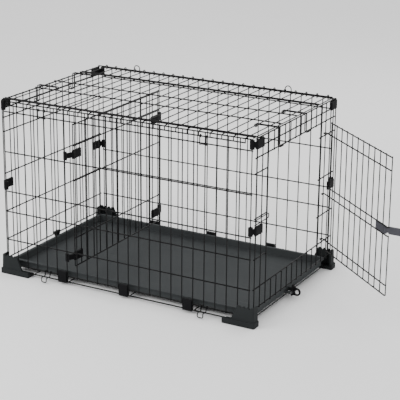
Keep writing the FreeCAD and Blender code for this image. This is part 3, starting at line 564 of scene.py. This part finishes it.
def end_hook(hand, place):
    """End hook: two wires with an eye, a run over the edge, a leg and a finger curl, joined by a grip bar."""
    node = f"end_hook_{hand}_{place}"
    pivot = PIVOT[node + "_pivot"]
    along = X_AXIS if hand == "right" else -X_AXIS
    eye = turn(pivot, HOOK_EYE_R, 90 + CURL_TURN, 90, along, Z_AXIS)
    corner = pivot + (HOOK_REACH - HOOK_BEND) * along + (HOOK_EYE_R - HOOK_BEND) * Z_AXIS
    bend = turn(corner, HOOK_BEND, 90, 0, along, Z_AXIS)
    foot = pivot + (HOOK_REACH + HOOK_CURL_R) * along - HOOK_DROP * Z_AXIS
    curl = turn(foot, HOOK_CURL_R, 180, 360, along, Z_AXIS)
    path = np.concatenate([eye, bend, curl])
    paths = np.stack([path - HOOK_HALF * Y_AXIS, path + HOOK_HALF * Y_AXIS])
    grip = foot + HOOK_CURL_R * along + (HOOK_R - WELD) * Z_AXIS
    wide = (HOOK_HALF + HOOK_R) * Y_AXIS
    bar = np.stack([grip - wide, grip + wide])[None]
    wire_piece(node, [round_wires(paths, HOOK_R, Y_AXIS), straight_round(bar, HOOK_R)])


def front_hook(hand):
    """Front hook: two wires with an eye on the lip rail and a leg bent in at its foot, joined by a bar."""
    node = f"front_hook_{hand}"
    pivot = PIVOT[node + "_pivot"]
    eye = turn(pivot, FRONT_EYE_R, 180 - CURL_TURN, 180, Y_AXIS, Z_AXIS)
    corner = pivot + (FRONT_BEND - FRONT_EYE_R) * Y_AXIS + (FRONT_BEND - FRONT_LEG) * Z_AXIS
    bend = turn(corner, FRONT_BEND, 180, 270, Y_AXIS, Z_AXIS)
    tip = pivot + (LAYER - HOOK_R) * Y_AXIS - FRONT_LEG * Z_AXIS
    path = np.concatenate([eye, bend, tip[None]])
    paths = np.stack([path - LOOP_HALF * X_AXIS, path + LOOP_HALF * X_AXIS])
    middle = tip + (HOOK_R - WELD) * Y_AXIS
    wide = (LOOP_HALF + HOOK_R) * X_AXIS
    bar = np.stack([middle - wide, middle + wide])[None]
    wire_piece(node, [round_wires(paths, HOOK_R, X_AXIS), straight_round(bar, HOOK_R)])


def back_loop(hand):
    """Back loop: a half ring on two short legs."""
    node = f"back_loop_{hand}"
    low, high = (np.array(corner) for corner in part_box(node))
    middle = (low + high) / 2
    crown = middle * (1, 1, 0) + (high[2] - LOOP_R - LOOP_HALF) * Z_AXIS
    hoop = turn(crown, LOOP_HALF, 0, 180, X_AXIS, Z_AXIS)
    drop = (crown[2] - low[2]) * Z_AXIS
    path = np.concatenate([hoop[:1] - drop, hoop, hoop[-1:] - drop])
    wire_piece(node, [round_wires(path[None], LOOP_R, Y_AXIS)])


def base_loop(face, hand):
    """Base hook: two wires with an eye on the panel's bottom rail and a step outwards, and a finger loop."""
    node = f"base_loop_{face}_{hand}"
    pivot = PIVOT[node + "_pivot"]
    out = -Y_AXIS if face == "front" else Y_AXIS
    eye = turn(pivot, BASE_EYE_R, CURL_TURN, 0, out, Z_AXIS)
    upper = pivot + (BASE_EYE_R + BASE_BEND) * out - BASE_NECK * Z_AXIS
    lower = pivot + (BASE_EYE_R + BASE_OUT - BASE_BEND) * out - (BASE_NECK + 2 * BASE_BEND) * Z_AXIS
    step_out = turn(upper, BASE_BEND, 180, 270, out, Z_AXIS)
    step_down = turn(lower, BASE_BEND, 90, 0, out, Z_AXIS)
    path = np.concatenate([eye, step_out, step_down])
    paths = np.stack([path - BASE_HALF * X_AXIS, path + BASE_HALF * X_AXIS])
    sole = pivot * (0, 0, 1) - (BASE_DROP - BASE_CORNER) * Z_AXIS
    middle = step_down[-1] * (1, 1, 0) + sole
    side = (BASE_HALF - BASE_CORNER) * X_AXIS
    left = turn(middle - side, BASE_CORNER, 180, 270, X_AXIS, Z_AXIS)
    right = turn(middle + side, BASE_CORNER, 270, 360, X_AXIS, Z_AXIS)
    loop = np.concatenate([paths[:1, -1], left, right, paths[1:, -1]])
    wire_piece(node, [round_wires(paths, LOOP_R, X_AXIS), round_wires(loop[None], LOOP_R, Y_AXIS)])


def door_catch():
    """Door catch: a hairpin whose bend reaches into the doorway."""
    node = "door_catch"
    low, high = (np.array(corner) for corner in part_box(node))
    bend = (high[2] - low[2]) / 2 - LOOP_R
    nose = (low + high) / 2 * (1, 0, 1) + (high[1] - LOOP_R - bend) * Y_AXIS
    half_ring = turn(nose, bend, -90, 90, Y_AXIS, Z_AXIS)
    back = (nose[1] - low[1]) * Y_AXIS
    path = np.concatenate([half_ring[:1] - back, half_ring, half_ring[-1:] - back])
    wire_piece(node, [round_wires(path[None], LOOP_R, X_AXIS)])


def moulded_piece(node):
    """Copy of a moulded CAD node, joined into one skin, with its edges rounded."""
    mesh = frame["nodes"][node].data.copy()
    made = dressed(node, mesh)
    weld = made.modifiers.new("join", "WELD")
    weld.merge_threshold = JOIN_DISTANCE
    flat = made.modifiers.new("flat", "DECIMATE")
    flat.decimate_type = "DISSOLVE"
    flat.angle_limit = math.radians(FLAT_ANGLE)
    edge = made.modifiers.new("edge", "BEVEL")
    edge.width = EDGE_ROUND[SLOT_OF[node]]
    edge.segments = EDGE_STEPS
    edge.limit_method = "ANGLE"
    edge.angle_limit = math.radians(EDGE_ANGLE)
    mesh.polygons.foreach_set("use_smooth", [True] * len(mesh.polygons))
    corner = made.modifiers.new("shading", "WEIGHTED_NORMAL")
    corner.keep_sharp = True


def studio_floor():
    """Large flat sheet under the feet, nearly white with a faint mottle."""
    half = FLOOR_HALF
    corners = [(-half, -half, 0), (half, -half, 0), (half, half, 0), (-half, half, 0)]
    mesh = bpy.data.meshes.new("studio_floor")
    mesh.from_pydata(corners, [], [(0, 1, 2, 3)])
    floor = bpy.data.objects.new("studio_floor", mesh)
    bpy.context.scene.collection.objects.link(floor)
    paper = Finish("floor_paper")
    dark, light = (FLOOR_TONE,) * 3, (FLOOR_TONE + FLOOR_MOTTLE,) * 3
    colour = paper.blend(paper.noise(waves=2.0), dark, light)
    mesh.materials.append(paper.finish(Base_Color=colour, Roughness=0.9))


def white_sky():
    """Even white light from all round."""
    world = bpy.data.worlds.new("white_sky")
    world.use_nodes = True
    sky = next(n for n in world.node_tree.nodes if n.type == "BACKGROUND")
    sky.inputs["Color"].default_value = (SKY_TONE, SKY_TONE, SKY_TONE, 1.0)
    sky.inputs["Strength"].default_value = SKY_STRENGTH
    bpy.context.scene.world = world


def stand(thing, right, up, back, place):
    """Puts a light or camera in its place: right, up and back are the columns of its turn."""
    pose = np.eye(4)
    pose[:3] = np.column_stack([right, up, back, place])
    thing.matrix_world = Matrix(pose.tolist())


def soft_light(name, place, aim, size, power):
    """Square area light, turned so that it looks at aim."""
    lamp = bpy.data.lights.new(name, "AREA")
    lamp.size = size
    lamp.energy = power
    made = bpy.data.objects.new(name, lamp)
    bpy.context.scene.collection.objects.link(made)
    look = np.subtract(aim, place)
    look /= np.linalg.norm(look)
    right = np.cross(look, Z_AXIS)
    right /= np.linalg.norm(right)
    stand(made, right, np.cross(right, look), -look, place)


def photo_camera():
    """Camera with the photograph's yaw, pitch and roll: right and up turn by the roll about the view."""
    yaw, pitch, roll = np.radians([EYE_YAW, EYE_PITCH, EYE_ROLL])
    ahead = np.array([math.sin(yaw) * math.cos(pitch), math.cos(yaw) * math.cos(pitch), -math.sin(pitch)])
    level = np.array([math.cos(yaw), -math.sin(yaw), 0])
    rise = np.cross(level, ahead)
    right = math.cos(roll) * level + math.sin(roll) * rise
    up = math.cos(roll) * rise - math.sin(roll) * level
    lens = bpy.data.cameras.new("photo_camera")
    lens.lens = LENS_MM
    lens.sensor_width = SENSOR_MM
    camera = bpy.data.objects.new("photo_camera", lens)
    bpy.context.scene.collection.objects.link(camera)
    stand(camera, right, up, -ahead, EYE)
    bpy.context.scene.camera = camera


# Pieces
for panel in ("front_panel", "back_panel", "left_end", "right_end", "base_grid", "divider"):
    grid_panel(panel)
top_panel()
door()
door_catch()
for hand in ("left", "right"):
    front_hook(hand)
    back_loop(hand)
    for place in ("front", "back"):
        end_hook(hand, place)
        base_loop(place, hand)
for node, slot_name in SLOT_OF.items():
    if slot_name != "wire":
        moulded_piece(node)

# Studio: a pale floor, an even sky, three soft lights and the photograph's viewing angle
studio_floor()
white_sky()
soft_light("key_light", place=(-1.7, -2.2, 1.8), aim=(0, 0, 0.3), size=1.8, power=54.0)
soft_light("fill_light", place=(3.0, -1.5, 2.2), aim=(0, 0, 0.3), size=1.6, power=10.0)
soft_light("back_light", place=(0.4, 2.8, 2.6), aim=(0, 0, 0.5), size=1.6, power=30.0)
photo_camera()
